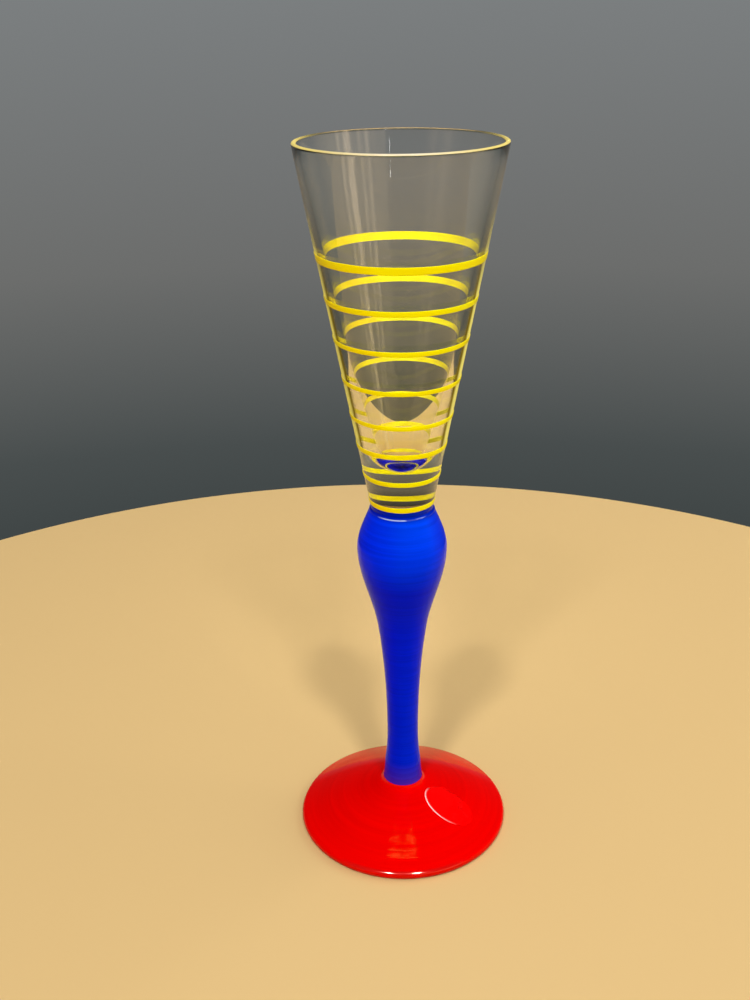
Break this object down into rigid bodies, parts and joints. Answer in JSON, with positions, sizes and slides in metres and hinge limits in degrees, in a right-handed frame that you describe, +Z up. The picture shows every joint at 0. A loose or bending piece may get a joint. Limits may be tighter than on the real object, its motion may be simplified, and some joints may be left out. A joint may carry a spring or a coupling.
{
  "type": "schnapps glass",
  "caption": "Tall-stemmed schnapps glass: clear conical bowl with painted yellow rings, blue baluster stem and red domed foot.",
  "frame": {"origin": "centre of the ring that the foot stands on, at the level of the table", "axes": "+Z up the axis of the glass towards the mouth; the film label on the foot lies 33 degrees from +X towards -Y"},
  "size_m": [0.0576, 0.0576, 0.1855],
  "materials": {
    "clear_glass": "clear, fire-polished",
    "blue_enamel": "brushed-on glossy enamel paint",
    "red_enamel": "brushed-on glossy enamel paint",
    "yellow_enamel": "banded-on glossy enamel paint",
    "label_film": "clear glossy film"
  },
  "bodies": {
    "root": {"bowl": "clear_glass", "stem": "clear_glass", "foot": "clear_glass", "stem_enamel": "blue_enamel", "foot_enamel": "red_enamel", "ring_1": "yellow_enamel", "ring_2": "yellow_enamel", "ring_3": "yellow_enamel", "ring_4": "yellow_enamel", "ring_5": "yellow_enamel", "ring_6": "yellow_enamel", "ring_7": "yellow_enamel", "ring_8": "yellow_enamel", "foot_label": "label_film"}
  },
  "joints": []
}
